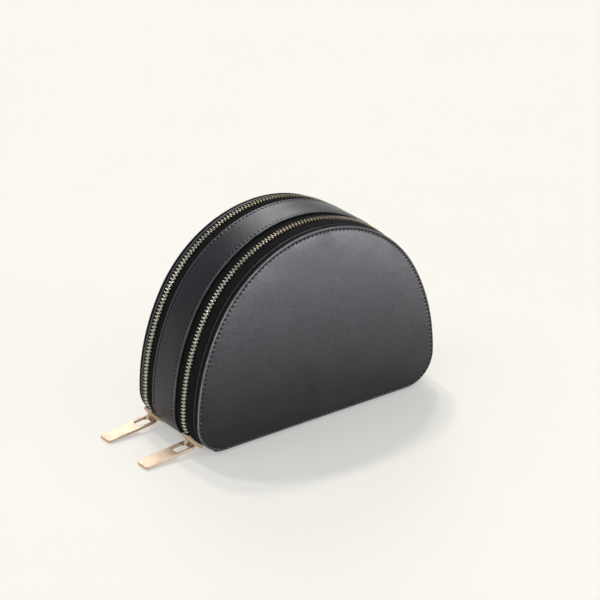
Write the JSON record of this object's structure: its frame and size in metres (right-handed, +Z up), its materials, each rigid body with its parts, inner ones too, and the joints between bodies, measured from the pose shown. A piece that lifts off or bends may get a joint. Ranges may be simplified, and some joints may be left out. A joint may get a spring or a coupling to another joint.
{
  "type": "jewellery case",
  "caption": "Half-moon leather travel jewellery case with a stiff band, a zipped lid on the front and back, and padded rolls, a rail and pockets inside.",
  "frame": {"origin": "middle of the base, on the surface that the case stands on", "axes": "+X along the width, to the right seen from the front; -Y is the front lid; +Z up"},
  "size_m": [0.1937, 0.0584, 0.1182],
  "materials": {
    "black_leather": "smooth fine-grained leather with a soft sheen",
    "zip_tape": "black woven tape",
    "zip_metal": "polished pale gold metal",
    "gold_metal": "satin champagne gold plate",
    "roll_cloth": "soft napped cloth",
    "lining_cloth": "napped lining cloth",
    "board": "grey board"
  },
  "bodies": {
    "case": {"center_band": "black_leather", "body_frame": "board", "body_lining": "lining_cloth", "divider_panel": "lining_cloth", "front_body_tape": "zip_tape", "rear_body_tape": "zip_tape", "front_body_teeth": "zip_metal", "rear_body_teeth": "zip_metal", "front_zip_stop": "zip_metal", "rear_zip_stop": "zip_metal", "front_tape_ends": "zip_tape", "rear_tape_ends": "zip_tape", "front_hinge_strip": "black_leather", "rear_hinge_strip": "black_leather", "lower_ring_roll": "roll_cloth", "middle_ring_roll": "roll_cloth", "upper_ring_roll": "roll_cloth", "left_partition": "lining_cloth", "right_partition": "lining_cloth", "necklace_rail": "gold_metal", "chain_pouch": "lining_cloth"},
    "front_lid": {"front_lid_leather": "black_leather", "front_lid_board": "board", "front_lid_lining": "lining_cloth", "front_lid_tape": "zip_tape", "front_lid_teeth": "zip_metal", "front_lid_pocket": "lining_cloth"},
    "rear_lid": {"rear_lid_leather": "black_leather", "rear_lid_board": "board", "rear_lid_lining": "lining_cloth", "rear_lid_tape": "zip_tape", "rear_lid_teeth": "zip_metal"},
    "front_slider": {"front_slider_body": "gold_metal", "front_slider_crown": "gold_metal"},
    "rear_slider": {"rear_slider_body": "gold_metal", "rear_slider_crown": "gold_metal"},
    "front_pull": {"front_pull_tab": "gold_metal"},
    "rear_pull": {"rear_pull_tab": "gold_metal"}
  },
  "joints": [
    {"name": "front_lid_hinge", "type": "hinge", "parent": "case", "child": "front_lid", "pos_m": [0, -0.028, 0.00145], "axis": [1, 0, 0], "range_deg": [0, 90]},
    {"name": "rear_lid_hinge", "type": "hinge", "parent": "case", "child": "rear_lid", "pos_m": [0, 0.0285, 0.00145], "axis": [-1, 0, 0], "range_deg": [0, 90]},
    {"name": "front_slider_run", "type": "hinge", "parent": "case", "child": "front_slider", "pos_m": [-0.063, -0.016, 0.0203], "axis": [0, 1, 0], "range_deg": [0, 30]},
    {"name": "rear_slider_run", "type": "hinge", "parent": "case", "child": "rear_slider", "pos_m": [-0.063, 0.0216, 0.0203], "axis": [0, 1, 0], "range_deg": [0, 30]},
    {"name": "front_pull_swing", "type": "hinge", "parent": "front_slider", "child": "front_pull", "pos_m": [-0.07893, -0.016, 0.00409], "axis": [0, 1, 0], "range_deg": [0, 50]},
    {"name": "rear_pull_swing", "type": "hinge", "parent": "rear_slider", "child": "rear_pull", "pos_m": [-0.07893, 0.0216, 0.00409], "axis": [0, 1, 0], "range_deg": [0, 50]}
  ]
}
